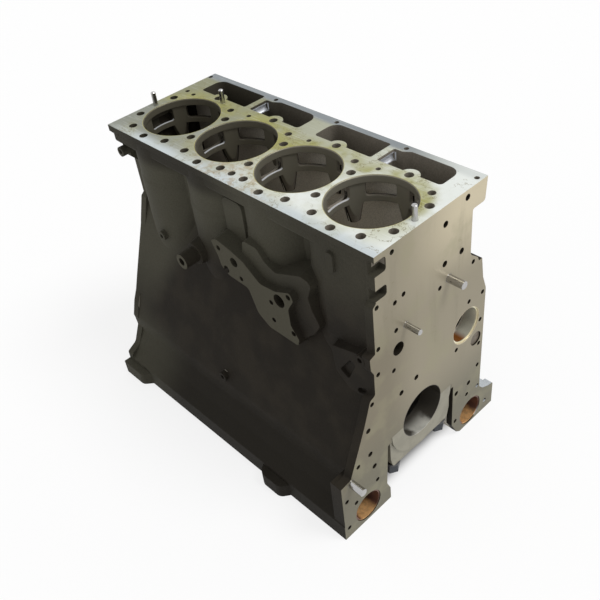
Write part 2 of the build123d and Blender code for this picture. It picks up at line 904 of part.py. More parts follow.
# Main bearing caps, numbered from the timing end
for number, x in enumerate(reversed(cap_xs), start=1):
    at_front = x == cap_xs[-1]
    at_rear = x == cap_xs[0]
    cap_rear_x = x - cap_length / 2 + (cap_shoulder if at_rear else 0)
    cap_front_x = x + cap_length / 2 - (cap_shoulder if at_front else 0)
    with BuildPart() as main_cap:
        with BuildSketch(Plane.YZ.offset(cap_rear_x)) as cap_section:
            with BuildLine():
                FilletPolyline(*cap_outline, radius=cap_radii, close=True)
            make_face()
        extrude(amount=cap_front_x - cap_rear_x)
        if at_front or at_rear:
            with BuildSketch(Plane.YZ.offset(x - cap_length / 2)) as boss_section:
                Circle(cap_boss_radius)
                with Locations((0, cap_boss_radius)):
                    Rectangle(4 * cap_boss_radius, 2 * cap_boss_radius, mode=Mode.SUBTRACT)
            extrude(amount=cap_length)
        with BuildSketch(Plane.YZ.offset(x - cap_length / 2)) as cap_bore_section:
            Circle(main_bore_dia / 2)
        extrude(amount=cap_length, mode=Mode.SUBTRACT)
        with BuildSketch(Plane.XY) as cap_hole_section:
            with Locations((x, -cap_bolt_offset), (x, cap_bolt_offset)):
                Circle((cap_bolt_dia + bolt_hole_clearance) / 2)
        extrude(amount=-cap_height - 1, mode=Mode.SUBTRACT)
    main_cap.part.label = f"main_cap_{number}"
    export_step(main_cap.part, f"parts/main_cap_{number}.step")

# Cap bolts, one node each, and their washers
for number, x in enumerate(reversed(cap_xs), start=1):
    for side, y in (("left", -cap_bolt_offset), ("right", cap_bolt_offset)):
        with BuildPart() as cap_bolt:
            with BuildSketch(Plane.XY.offset(-cap_height - cap_washer_height)) as head_section:
                with Locations((x, y)):
                    RegularPolygon(cap_bolt_head / 2, 6, major_radius=False)
            extrude(amount=-cap_bolt_head_height)
            with BuildSketch(Plane.XY.offset(-cap_height - cap_washer_height)) as shank_section:
                with Locations((x, y)):
                    Circle(cap_bolt_dia / 2)
            extrude(amount=cap_height + cap_washer_height + cap_bolt_depth)
            chamfer(cap_bolt.faces().sort_by(Axis.Z)[-1].edges(), 1.5)
        cap_bolt.part.label = f"main_cap_bolt_{number}_{side}"
        export_step(cap_bolt.part, f"parts/main_cap_bolt_{number}_{side}.step")

with BuildPart() as cap_washers:
    with BuildSketch(Plane.XY.offset(-cap_height)) as washer_section:
        with Locations(*[(x, s * cap_bolt_offset) for x in cap_xs for s in (-1, 1)]):
            Circle(cap_washer_dia / 2)
            Circle((cap_bolt_dia + bolt_hole_clearance) / 2, mode=Mode.SUBTRACT)
    extrude(amount=-cap_washer_height)
cap_washers.part.label = "main_cap_washers"
export_step(cap_washers.part, "parts/main_cap_washers.step")

# Camshaft bearings, numbered from the timing end, and the plug behind the last one
cam_bearing_xs = [front_x - cam_bearing_inset - cam_bearing_length / 2]
cam_bearing_xs += list(reversed(web_xs))
cam_plug_x = rear_x + 1
cam_bearing_xs += [cam_plug_x + cam_plug_thickness + 1 + cam_bearing_length / 2]
for number, x in enumerate(cam_bearing_xs, start=1):
    with BuildPart() as cam_bearing:
        with BuildSketch(Plane.YZ.offset(x - cam_bearing_length / 2)) as cam_ring_section:
            with Locations((cam_y, cam_z)):
                Circle(cam_bearing_bore / 2 + cam_bearing_wall)
                Circle(cam_bearing_bore / 2, mode=Mode.SUBTRACT)
        extrude(amount=cam_bearing_length)
    cam_bearing.part.label = f"cam_bearing_{number}"
    export_step(cam_bearing.part, f"parts/cam_bearing_{number}.step")
with BuildPart() as cam_plug:
    with BuildSketch(Plane.YZ.offset(cam_plug_x)) as cam_plug_section:
        with Locations((cam_y, cam_z)):
            Circle(cam_bearing_bore / 2 + cam_bearing_wall)
    extrude(amount=cam_plug_thickness)
cam_plug.part.label = "rear_cam_plug"
export_step(cam_plug.part, "parts/rear_cam_plug.step")

# Balancer shaft bushes at both ends of both shafts
bush_places = [
    ("front_left", front_x - bush_inset - bush_length, balancer_left_y, balancer_left_z),
    ("front_right", front_x - bush_inset - bush_length, balancer_right_y, balancer_right_z),
    ("rear_left", rear_x + bush_inset, balancer_left_y, balancer_left_z),
    ("rear_right", rear_x + bush_inset, balancer_right_y, balancer_right_z),
]
for place, x, y, z in bush_places:
    with BuildPart() as bush:
        with BuildSketch(Plane.YZ.offset(x)) as bush_section:
            with Locations((y, z)):
                Circle(bush_bore / 2 + bush_wall)
                Circle(bush_bore / 2, mode=Mode.SUBTRACT)
        extrude(amount=bush_length)
    bush.part.label = f"balancer_bush_{place}"
    export_step(bush.part, f"parts/balancer_bush_{place}.step")

# Dowels that stand on the deck
for place, (x, y) in zip(("rear", "front", "side"), dowel_points):
    with BuildPart() as deck_dowel:
        with BuildSketch(Plane.XY.offset(deck_z - dowel_seat)) as dowel_section:
            with Locations((x, y)):
                Circle(dowel_dia / 2 + press_step)
        extrude(amount=dowel_seat)
        with BuildSketch(Plane.XY.offset(deck_z)) as dowel_end_section:
            with Locations((x, y)):
                Circle(dowel_dia / 2)
        extrude(amount=dowel_height)
        chamfer(deck_dowel.edges().group_by(Axis.Z)[-1], 1)
    deck_dowel.part.label = f"deck_dowel_{place}"
    export_step(deck_dowel.part, f"parts/deck_dowel_{place}.step")

# Pins on the timing face and dowels on the flywheel face
for place, (y, z, diameter, reach) in zip(("upper", "middle", "lower"), front_pins):
    with BuildPart() as front_pin:
        with BuildSketch(Plane.YZ.offset(front_x - pin_seat)) as pin_section:
            with Locations((y, z)):
                Circle(diameter / 2 + press_step)
        extrude(amount=pin_seat)
        with BuildSketch(Plane.YZ.offset(front_x)) as pin_end_section:
            with Locations((y, z)):
                Circle(diameter / 2)
        extrude(amount=reach)
        chamfer(front_pin.edges().group_by(Axis.X)[-1], 1)
    front_pin.part.label = f"timing_face_pin_{place}"
    export_step(front_pin.part, f"parts/timing_face_pin_{place}.step")
for place, (y, z) in zip(("left", "right"), rear_dowel_points):
    with BuildPart() as rear_dowel:
        with BuildSketch(Plane.YZ.offset(rear_x + pin_seat)) as rear_dowel_section:
            with Locations((y, z)):
                Circle(rear_dowel_dia / 2)
        extrude(amount=-pin_seat - rear_dowel_reach)
        chamfer(rear_dowel.edges().group_by(Axis.X)[0], 1)
    rear_dowel.part.label = f"flywheel_face_dowel_{place}"
    export_step(rear_dowel.part, f"parts/flywheel_face_dowel_{place}.step")

# Cup plugs in the end of the water jacket and the plug of the idler bore
for place, (y, z) in zip(("left", "right"), core_plug_points):
    with BuildPart() as core_plug:
        with BuildSketch(Plane.YZ.offset(rear_x + 2)) as core_plug_section:
            with Locations((y, z)):
                Circle(core_plug_dia / 2)
        extrude(amount=core_plug_depth)
        with BuildSketch(Plane.YZ.offset(rear_x + 2)) as core_cup_section:
            with Locations((y, z)):
                Circle(core_plug_dia / 2 - 2)
        extrude(amount=core_plug_depth - 2, mode=Mode.SUBTRACT)
    core_plug.part.label = f"jacket_plug_{place}"
    export_step(core_plug.part, f"parts/jacket_plug_{place}.step")
with BuildPart() as idler_plug:
    with BuildSketch(Plane.YZ.offset(front_x - idler_plug_depth)) as idler_plug_section:
        with Locations(idler_point):
            Circle(idler_dia / 2 - fit_gap)
    extrude(amount=idler_plug_depth - idler_plug_inset)
idler_plug.part.label = "idler_bore_plug"
export_step(idler_plug.part, "parts/idler_bore_plug.step")
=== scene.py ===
"""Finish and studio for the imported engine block: cast and machined iron, fittings, floor and lamp."""

import math

import bpy
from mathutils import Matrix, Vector


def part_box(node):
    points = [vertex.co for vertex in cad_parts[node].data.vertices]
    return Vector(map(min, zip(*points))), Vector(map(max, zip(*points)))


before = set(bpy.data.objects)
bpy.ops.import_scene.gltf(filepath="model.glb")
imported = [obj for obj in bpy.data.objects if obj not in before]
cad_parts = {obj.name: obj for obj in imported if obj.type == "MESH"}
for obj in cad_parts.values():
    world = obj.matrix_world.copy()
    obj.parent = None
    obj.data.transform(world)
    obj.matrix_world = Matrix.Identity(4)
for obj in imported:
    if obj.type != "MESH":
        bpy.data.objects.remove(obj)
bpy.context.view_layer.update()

bl_info = {
    "name": "Engine block finish",
    "version": (1, 0, 0),
    "blender": (4, 5, 0),
    "location": "3D View > Sidebar > Engine block",
    "description": "Gives an open engine block its cast and machined iron, its fittings and a studio",
    "category": "Object",
}

BLOCK = "block_casting"

# Places that the finish follows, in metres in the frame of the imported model.
BLOCK_LOW, BLOCK_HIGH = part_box(BLOCK)
DECK_Z = BLOCK_HIGH.z
SUMP_Z = BLOCK_LOW.z
FRONT_X = BLOCK_HIGH.x
REAR_X = BLOCK_LOW.x

# Cylinders, from the liner outwards: its register, its wall, the windowed ring and the water jacket.
BORE_PITCH = 0.151
REGISTER_RADIUS = 0.06955
LIP_WIDTH = 0.0019
WALL_RADIUS = 0.0722
WALL_LOW_Z = 0.314
WALL_TOP_Z = DECK_Z - 0.0002
LINER_SPACE_RADIUS = 0.0765
RING_BACK_RADIUS = 0.0792
RING_LOW_Z = 0.30
JACKET_RADIUS = 0.0885
JACKET_TOP_Z = DECK_Z - 0.012
JACKET_END_X = FRONT_X - 0.022
CRANKCASE_TOP_Z = 0.02

# Sills: the low edges of the ring's windows, with a painted glint behind each bore's axis, which halves its
# pitch.
SILL_Z = 0.348
SILL_REACH = 0.003
SILL_RADIUS = WALL_RADIUS + 0.003
SILL_RIGHT_Y = 0.025
AXIS_SHARE = 0.5

# Pushrod pockets, the jacket's limit beside them, and the two milled grooves at their ends.
POCKET_LEFT_Y = 0.090
POCKET_RIGHT_Y = 0.140
POCKET_LOW_Z = 0.148
POCKET_END_X = FRONT_X - 0.03
JACKET_RIGHT_Y = POCKET_LEFT_Y - 0.0015
GROOVE_XS = (-0.1445, 0.1575)
GROOVE_REACH = 0.005
GROOVE_LOW_Z = DECK_Z - 0.0203
GROOVE_HIGH_Z = DECK_Z - 0.0047

# Deck holes, whose walls take the inside's painted light, and the bays of the crankcase, whose faces don't
# lean outwards.
HOLE_LOW_Z = DECK_Z - 0.026
HOLES_LEFT_Y = -0.0925
HOLES_RIGHT_Y = 0.150
BAY_RIGHT_Y = 0.156
BAY_FRONT_X = FRONT_X - 0.012
BAY_REAR_X = REAR_X + 0.012
BAY_LEAN = 0.02

# Bearing bores.
MAIN_BORE_RADIUS = 0.04855
BORE_REACH = 0.0009
CAM_Y = 0.1156
CAM_Z = 0.113
HOUSING_RADIUS = 0.0356
HOUSING_X = FRONT_X - 0.0045
TUNNEL_RADIUS = 0.0385
TUNNEL_X = FRONT_X - 0.0205

# Accessory pad and the end of the tube boss on the left side, as (x, z) and the reach round it.
PAD_MIDDLE = (0.065, 0.209)
PAD_REACH = 0.118
TUBE_MIDDLE = (-0.1105, 0.196)
TUBE_REACH = 0.017

# How far a mask of the block's inside stops short of a face, or passes over it.
SLACK = 0.002
THIN_SLACK = 0.001

# How much of a face's direction goes along an axis: up to LEVEL or UPRIGHT, past UPWARD or FORWARD.
LEVEL = 0.9
UPWARD = 0.5
FORWARD = 0.1
UPRIGHT = 0.1

# Flat machined faces: the axis each one stands on, its place there and the way it faces.
PLANES = {
    "deck": ("z", DECK_Z, 1),
    "sump": ("z", SUMP_Z, -1),
    "front": ("x", FRONT_X, 1),
    "rear": ("x", REAR_X, -1),
    "pad plane": ("y", -0.118, -1),
    "tube plane": ("y", -0.138, -1),
}

# Noises of the block: scale, detail, roughness and stretch.
PATTERNS = {
    "cloud": (15.0, 3.0, 0.55, None),
    "spots": (75.0, 4.0, 0.60, None),
    "drift": (33.0, 5.0, 0.62, None),
    "scratches": (30.0, 3.0, 0.60, (0.6, 14.0, 1.0)),
    "streaks": (24.0, 3.0, 0.55, (1.0, 1.6, 0.25)),
}

# Layers of colour, each laid over the last: the colour, its share, and the conditions that hold it in place.
# A condition is a mask's name, or a span with the values where the layer is absent and where it is full,
# or a limit with its sign. "lifted z" is z with a lift at the far left, where the pale skin with its
# painted light reaches lower.
SKIN_LAYERS = (
    ("skin", 0.70, ("patches",)),
    # painted shade: the skin darkens towards the sump, where the side lies in shade
    ("skin_low", 1.0, ("z", 0.02, -0.10)),
    # painted light: the next two layers lighten the left side high up, where more light falls
    ("skin_pale", 0.85, ("lifted z", 0.17, 0.30), ("y", "<", -0.04), ("x", 0.24, 0.02)),
    ("skin_pale", 0.50, ("z", 0.20, 0.34), ("y", "<", -0.06)),
    # painted shade: a dark band in the cove under the deck, high on the left side
    ("skin_dark", 0.75, ("z", 0.322, 0.350), ("x", 0.06, -0.08), ("y", "<", -0.04)),
    # paler skin low and at the rear of the left side
    ("skin_pale", 0.60, ("z", 0.02, -0.06), ("x", -0.12, -0.24), ("y", "<", 0.0)),
    ("skin_pale", 0.32, ("x", -0.22, -0.29), ("y", "<", 0.0)),
    # painted light: upward faces of the right rail lightened to pale blue-grey, as the sky falls on them
    ("skin_top", 0.85, ("way z", 0.25, 0.80), ("y", ">", 0.155), ("z", "<", -0.06)),
)
DECK_LAYERS = (
    ("deck_rear", 0.88, ("x", 0.14, -0.22)),
    ("stain", 0.45, ("y", -0.02, 0.06), ("x", 0.30, 0.08)),
    ("deck_rear", 0.26, ("y", -0.02, 0.06), ("x", 0.30, 0.08)),
    # painted reflection: blue-grey of the sky on the deck's left edge at the rear
    ("deck_cool", 1.0, ("y", -0.070, -0.096), ("x", -0.33, -0.22)),
    ("deck_strip", 1.0, ("y", 0.126, 0.140), ("strip share",)),
    ("stain", 1.0, ("radius", 0.125, 0.070), ("cloud", 0.36, 0.62), ("stain share",)),
    ("ring", 0.75, ("rims",), ("cloud", 0.40, 0.60), ("y", "<", 0.137)),
    ("rust", 0.42, ("off middle", 0.16, 0.02), ("y", 0.02, -0.05), ("spots", 0.47, 0.60)),
    ("lip", 0.80, ("radius", "<", REGISTER_RADIUS + LIP_WIDTH)),
    ("scratch", 0.22, ("scratches", 0.56, 0.70)),
)
END_LAYERS = (
    # painted light: cream high on the right of the timing face, where the light falls
    ("front_cream", 1.0, ("z", 0.21, 0.37), ("y", -0.07, 0.11)),
    # painted shade: the timing face darkens at its lower left
    ("front_left", 1.0, ("y", 0.0, -0.09), ("z", 0.30, 0.18)),
    # painted shade: the timing face darkens towards its legs; the same colour also lies in random streaks
    ("front_low", 1.0, ("z", 0.10, -0.08)),
    ("front_olive", 0.35, ("cloud", 0.50, 0.68)),
    ("front_low", 0.16, ("streaks", 0.50, 0.72)),
    ("ring", 0.22, ("rims",), ("streaks", 0.55, 0.68)),
)
# painted light inside bores, pockets and deck holes, lightest at the front and darker to the rear as painted
# shade
INSIDE_LAYERS = (("inside", 1.0, ("x", -0.24, 0.20)),)
# painted light: the water space and bays are lightened, most towards the front
DEPTH_LAYERS = (("deep", 1.0, ("x", -0.34, 0.16)),)
# painted shade: the liner wall darkens towards the rear bores
WALL_LAYERS = (("wall", 1.0, ("x", -0.24, 0.24)),)

# Values that the layers' fields are made with.
LIFT_SPAN, LIFT = (-0.12, -0.26), 0.17
STRIP_SPAN, STRIP_SHARES = (0.14, 0.30), (1.0, 0.25)
STAIN_SPAN, STAIN_SHARES = (-0.06, 0.05), (0.45, 1.0)
RIM_SPAN = (0.014, 0.003)
RUST_X = 0.01
SILL_GLINT_SHARE = 0.55
SPECKLE_SHARE = 0.25
CUTTER_ACROSS = (0.0, 1.0, 0.35)
CUTTER_TONE = 0.10
CUTTER_HEIGHT = 0.05
WORN_REACH = 0.15
NOISE_MIDDLE = 0.5

# Spans of the touches on the fittings, absent at the first place and full at the second.
# painted shade high in the balancer bushes
BUSH_SHADE_Z = (-0.1435, -0.1355)
OIL_Z = (CAM_Z - 0.020, CAM_Z - 0.028)
OIL_Y = (CAM_Y + 0.012, CAM_Y - 0.004)
BEARING_HIGH_Z = (CAM_Z + 0.008, CAM_Z + 0.024)
# painted reflection low in the front cap's bore
CAP_REFLECTION_X = (FRONT_X - 0.034, FRONT_X - 0.004)
CAP_REFLECTION_Z = (-0.039, -0.049)

# Studio: the gap under the block, its painted shadow on the ground, the lamp and the camera.
FLOOR_GAP = 0.0005
SHADOW_PATCH_X = (FRONT_X - 0.01, FRONT_X - 0.05)
SHADOW_PATCH_Y = (0.19, 0.15)
LAMP_PLACE = (1.2, 0.5, 2.2)
LAMP_FROM = (0.50, 0.30, 0.85)
SENSOR_WIDTH = 36
CLIP_START, CLIP_END = 0.01, 100

# A Mix node's sockets for its two values and its result, by kind.
MIX_SOCKETS = {"RGBA": (6, 7, 2), "FLOAT": (2, 3, 0)}


def painted(red, green, blue):
    """A colour as the eye reads it, 0 to 255, turned to the linear values that shaders hold."""
    linear = []
    for value in (red, green, blue):
        share = value / 255
        linear.append(share / 12.92 if share <= 0.04045 else ((share + 0.055) / 1.055) ** 2.4)
    return tuple(linear)


def colour_choice(name, description, default):
    return bpy.props.FloatVectorProperty(
        name=name, description=description, default=painted(*default),
        subtype="COLOR", size=3, min=0, max=1)


def length_choice(name, description, default):
    return bpy.props.FloatProperty(
        name=name, description=description, default=default, min=0, unit="LENGTH", precision=5)


def share_choice(name, description, default):
    return bpy.props.FloatProperty(
        name=name, description=description, default=default, min=0, max=1, subtype="FACTOR")


def strength_choice(name, description, default):
    return bpy.props.FloatProperty(name=name, description=description, default=default, min=0)


class CastIron(bpy.types.PropertyGroup):
    """The rough skin that the mould leaves, and the painted light and shade laid on it."""

    skin: colour_choice("Skin", "Dark brown-grey of the cast walls", (48, 43, 35))
    # Dark patches of the skin at random, and painted shade in the cove under the deck
    skin_dark: colour_choice("Dark patches", "Oily patches of the cast walls", (35, 31, 25))
    # Painted shade: near black colour that darkens the skin low on the sides
    skin_low: colour_choice("Low skin", "Near black skin over the sump rail", (35, 32, 26))
    # Pale olive-grey skin at the rear, and painted light high on the left side
    skin_pale: colour_choice("Pale skin", "Olive-grey skin high and at the rear of the left side",
                             (80, 78, 66))
    # Painted light: pale blue-grey on upward faces of the right rail
    skin_top: colour_choice("Upward skin", "Pale blue-grey skin on top of the right rail", (206, 212, 216))
    # Painted light: a colour lighter than the iron, which lifts the shade inside the front bores and pockets
    inside: colour_choice("Inside", "Brown-grey inside of bores and pockets", (144, 137, 125))
    # Painted shade: the inside darkens towards the rear
    inside_rear_painted_shade: colour_choice("Inside, rear", "Darker inside of the rear bores and pockets", (76, 72, 61))
    # Painted light: pale colour that lifts the shade of the water space, the bays and the cam tunnel
    deep: colour_choice("Deep inside", "Water space and bays behind the bores", (224, 217, 203))
    grain: length_choice("Grain", "Size of the sand grain", 0.0022)
    grain_depth: length_choice("Grain depth", "Height of the sand grain", 0.00035)
    swell: length_choice("Swell", "Size of the slow waves in the skin", 0.055)
    edge: length_choice("Edge", "How far the casting's edges look rounded", 0.0016)
    rough: share_choice("Roughness", "Roughness of the cast skin", 0.70)
    sheen: share_choice("Sheen", "How strongly the casting mirrors what is round it", 0.12)


class MilledIron(bpy.types.PropertyGroup):
    """The bare faces that the cutter leaves, and the painted light, shade and reflections laid on them."""

    deck: colour_choice("Deck", "Pale grey of the deck", (230, 234, 229))
    # Painted reflection: blue-grey sky on the deck's left edge
    deck_cool: colour_choice("Deck edge", "Blue-grey of the deck's left edge at the rear", (200, 208, 210))
    deck_rear: colour_choice("Deck, rear", "Duller grey of the deck's rear end", (118, 120, 106))
    deck_strip: colour_choice("Strip", "Blue-grey strip beside the pockets", (138, 144, 147))
    stain: colour_choice("Stain", "Yellow-green stain round the bores", (156, 154, 90))
    ring: colour_choice("Dried rings", "Brown-green rims of dried fluid", (118, 106, 62))
    rust: colour_choice("Rust", "Brown rust between the bores", (156, 126, 70))
    lip: colour_choice("Lip", "Yellow edge of each bore", (186, 178, 98))
    scratch: colour_choice("Scratch", "Pale scratches along the deck", (237, 239, 236))
    front: colour_choice("Timing face", "Warm grey of the timing face", (149, 141, 122))
    # Painted light: cream high on the timing face and on the cam housing's front
    front_cream: colour_choice("Timing face, high", "Cream high on the right of the timing face",
                               (204, 193, 166))
    front_olive: colour_choice("Timing face, patches", "Faint olive patches of the timing face",
                               (150, 146, 118))
    # Painted shade: darker grey low at the timing face's left
    front_left: colour_choice("Timing face, left", "Duller grey at the timing face's left", (126, 118, 100))
    # Painted shade low on the timing face, and the colour of its streaks
    front_low: colour_choice("Timing face, low", "Grey of the timing face's legs", (113, 109, 93))
    pad: colour_choice("Pad", "Olive-grey of the accessory pad", (76, 73, 61))
    wall: colour_choice("Liner wall", "Beige-grey of the wall that holds the liner", (140, 136, 122))
    # Painted shade: darker liner wall of the rear bores
    wall_rear_painted_shade: colour_choice("Liner wall, rear", "Darker wall of the rear bores", (104, 100, 86))
    # Bright grey of the milled grooves, also laid as a painted glint on the sills
    groove: colour_choice("Groove", "Bright grey of the milled grooves and sills", (236, 240, 246))
    # Painted shade: dark grey for the machined main bore, which lies in shade; also the caps' faint clouds
    bore: colour_choice("Bearing bore", "Dark grey of the main bearing bore", (64, 60, 53))
    # Painted reflection: bright low edge of the main bore
    bore_lip_reflection: colour_choice("Bearing bore, lip", "Bright low edge of the main bore", (200, 198, 188))
    line_pitch: length_choice("Cutter pitch", "Distance between the cutter's lines", 0.0016)
    rough: share_choice("Roughness", "Roughness of the milled faces", 0.40)
    shine: share_choice("Metal", "How metallic the milled faces look", 0.35)


class Fittings(bpy.types.PropertyGroup):
    """Bearing caps, bolts, washers, bushes, bearings, pins and plugs."""

    cap: colour_choice("Cap", "Beige-grey of the bearing caps", (142, 138, 122))
    bolt: colour_choice("Bolt", "Blue-black of the cap bolts", (58, 61, 66))
    washer: colour_choice("Washer", "Dark hardened washer", (78, 78, 80))
    copper: colour_choice("Bush", "Gold-brown of the balancer bushes", (244, 192, 130))
    # Painted shade high in a bush, and the second tone of its faint clouds
    copper_clouds_and_shade: colour_choice("Bush, oiled", "Brown high in an oiled bush", (110, 78, 65))
    bearing: colour_choice("Bearing", "Shiny bearing steel", (226, 224, 208))
    bearing_high: colour_choice("Bearing, high", "Shaded upper side of a bearing", (132, 134, 122))
    bearing_stain: colour_choice("Bearing stain", "Orange-brown oil stain in a bearing", (158, 96, 40))
    bearing_edge: colour_choice("Bearing edge", "Pale front edge of the front bearing", (244, 240, 214))
    pin: colour_choice("Pin", "Ground steel of the pins", (178, 177, 176))
    plug: colour_choice("Plug", "Brown-grey of a pressed plug", (118, 108, 94))
    second: share_choice("Second tone", "How bright a steel's clouds are beside it", 0.6)


class Studio(bpy.types.PropertyGroup):
    """Floor, light and camera."""

    floor_size: length_choice("Floor", "Length of the floor's sides", 16.0)
    floor: colour_choice("Floor colour", "White of the floor", (250, 250, 250))
    floor_glow: share_choice("Floor white", "How far the floor is lifted to white", 0.80)
    # Painted shadow: dark floor inside the block's outline, where the floor also doesn't glow
    floor_painted_shadow: colour_choice("Floor under the block", "Shaded floor inside the block's outline",
                               (60, 58, 54))
    floor_rough: share_choice("Floor roughness", "Roughness of the floor", 0.9)
    sky: strength_choice("Sky", "Strength of the soft light all round", 0.55)
    key: strength_choice("Key", "Strength of the high soft lamp", 1.7)
    key_spread: bpy.props.FloatProperty(name="Key spread", description="Angle that the lamp fills",
                                        default=math.radians(24), min=0, subtype="ANGLE")
    eye: bpy.props.FloatVectorProperty(name="Eye", description="Where the camera stands", size=3,
                                       default=(0.86975, -0.68030, 0.99840), subtype="XYZ",
                                       unit="LENGTH", precision=5)
    turn: bpy.props.FloatVectorProperty(name="Turn", description="How the camera is turned", size=3,
                                        default=tuple(map(math.radians, (49.683, 5.925, 45.817))),
                                        subtype="EULER", unit="ROTATION")
    lens: bpy.props.FloatProperty(name="Lens", description="Focal length on a 36 mm sensor",
                                  default=45.97, min=1, unit="CAMERA")


# Shader building


def add_node(tree, kind, **values):
    made = tree.nodes.new(kind)
    for name, value in values.items():
        setattr(made, name, value)
    return made


def feed(tree, socket, value):
    """Gives a socket a number, a colour, a vector or another node's output."""
    if isinstance(value, bpy.types.NodeSocket):
        tree.links.new(value, socket)
        return
    if hasattr(socket.default_value, "__len__") and hasattr(value, "__len__"):
        value = (*value, 1.0)[:len(socket.default_value)]
    socket.default_value = value


def maths(tree, operation, *values):
    made = add_node(tree, "ShaderNodeMath", operation=operation)
    for socket, value in zip(made.inputs, values):
        feed(tree, socket, value)
    return made.outputs[0]


def scaled(tree, value, amount):
    return maths(tree, "MULTIPLY", value, amount)


def off(tree, value, place):
    """How far a value lies from a place, on either side."""
    return maths(tree, "ABSOLUTE", maths(tree, "SUBTRACT", value, place))


def length(tree, along, across):
    """The length of a step that goes along one axis and across another."""
    squares = [maths(tree, "MULTIPLY", side, side) for side in (along, across)]
    return maths(tree, "SQRT", maths(tree, "ADD", *squares))


def split(tree, vector):
    made = add_node(tree, "ShaderNodeSeparateXYZ")
    feed(tree, made.inputs[0], vector)
    return made.outputs


def between(tree, value, low, high):
    """0 below low, 1 above high, and the other way round where low is above high."""
    made = add_node(tree, "ShaderNodeMapRange", interpolation_type="SMOOTHSTEP")
    feed(tree, made.inputs["Value"], value)
    feed(tree, made.inputs["From Min"], min(low, high))
    feed(tree, made.inputs["From Max"], max(low, high))
    if low <= high:
        return made.outputs["Result"]
    return maths(tree, "SUBTRACT", 1.0, made.outputs["Result"])


def mix(tree, kind, share, first, second):
    made = add_node(tree, "ShaderNodeMix", data_type=kind)
    first_socket, second_socket, result = MIX_SOCKETS[kind]
    feed(tree, made.inputs[0], share)
    feed(tree, made.inputs[first_socket], first)
    feed(tree, made.inputs[second_socket], second)
    return made.outputs[result]


def blend(tree, share, first, second):
    return mix(tree, "RGBA", share, first, second)


def blend_value(tree, share, first, second):
    return mix(tree, "FLOAT", share, first, second)


def noise(tree, vector, scale, detail, roughness=0.55, stretch=None):
    if stretch is not None:
        turned = add_node(tree, "ShaderNodeMapping")
        feed(tree, turned.inputs["Vector"], vector)
        feed(tree, turned.inputs["Scale"], stretch)
        vector = turned.outputs["Vector"]
    made = add_node(tree, "ShaderNodeTexNoise")
    feed(tree, made.inputs["Vector"], vector)
    feed(tree, made.inputs["Scale"], scale)
    feed(tree, made.inputs["Detail"], detail)
    feed(tree, made.inputs["Roughness"], roughness)
    return made.outputs["Fac"]


def new_group(name, inputs, outputs):
    """A node group with named inputs and outputs, which its caller fills."""
    group = bpy.data.node_groups.new(name, "ShaderNodeTree")
    for label, kind, default in inputs:
        socket = group.interface.new_socket(label, in_out="INPUT", socket_type="NodeSocket" + kind)
        if default is not None:
            socket.default_value = default
    for label in outputs:
        group.interface.new_socket(label, in_out="OUTPUT", socket_type="NodeSocketFloat")
    start = group.nodes.new("NodeGroupInput")
    end = group.nodes.new("NodeGroupOutput")
    return group, start.outputs, end.inputs


def machined_plane(name):
    """1 where a surface lies on one plane and faces its way, else 0."""
    group, taken, given = new_group(
        name, [("Place", "Float", 0.0), ("Plane", "Float", 0.0), ("Facing", "Float", 1.0),
               ("Reach", "Float", 0.0008), ("Square", "Float", 0.985)], ["Mask"])
    on_plane = maths(group, "LESS_THAN", off(group, taken["Place"], taken["Plane"]), taken["Reach"])
    faces = maths(group, "GREATER_THAN", taken["Facing"], taken["Square"])
    feed(group, given["Mask"], maths(group, "MULTIPLY", on_plane, faces))
    return group


def nearest_bore(name):
    """Distance from the axis of the nearest of four cylinders."""
    group, taken, given = new_group(
        name, [("Coordinates", "Vector", None), ("Pitch", "Float", BORE_PITCH)], ["Radius"])
    x, y, _ = split(group, taken["Coordinates"])
    away = maths(group, "ABSOLUTE", x)
    # the bores lie half a pitch and one and a half pitches from the middle, on both sides
    inner, outer = (off(group, away, scaled(group, taken["Pitch"], steps)) for steps in (0.5, 1.5))
    feed(group, given["Radius"], length(group, maths(group, "MINIMUM", inner, outer), y))
    return group


def cast_skin(name):
    """Sand grain, slow waves and oily patches of a casting."""
    group, taken, given = new_group(
        name, [("Coordinates", "Vector", None), ("Grain", "Float", 0.0022), ("Swell", "Float", 0.055),
               ("Wave height", "Float", 1.6), ("Pit depth", "Float", 0.8), ("Pit scale", "Float", 0.45)],
        ["Height", "Patches", "Speckle"])
    spot = taken["Coordinates"]
    fine = noise(group, spot, maths(group, "DIVIDE", 1.0, taken["Grain"]), detail=4.0, roughness=0.65)
    slow = noise(group, spot, maths(group, "DIVIDE", 1.0, taken["Swell"]), detail=2.0, roughness=0.5)
    pits = noise(group, spot, maths(group, "DIVIDE", taken["Pit scale"], taken["Grain"]),
                 detail=2.0, roughness=0.5)
    waves = maths(group, "ADD", fine, scaled(group, slow, taken["Wave height"]))
    pitted = scaled(group, between(group, pits, 0.60, 0.74), taken["Pit depth"])
    feed(group, given["Height"], maths(group, "SUBTRACT", waves, pitted))
    feed(group, given["Patches"], between(group, slow, 0.38, 0.66))
    feed(group, given["Speckle"], between(group, fine, 0.35, 0.70))
    return group


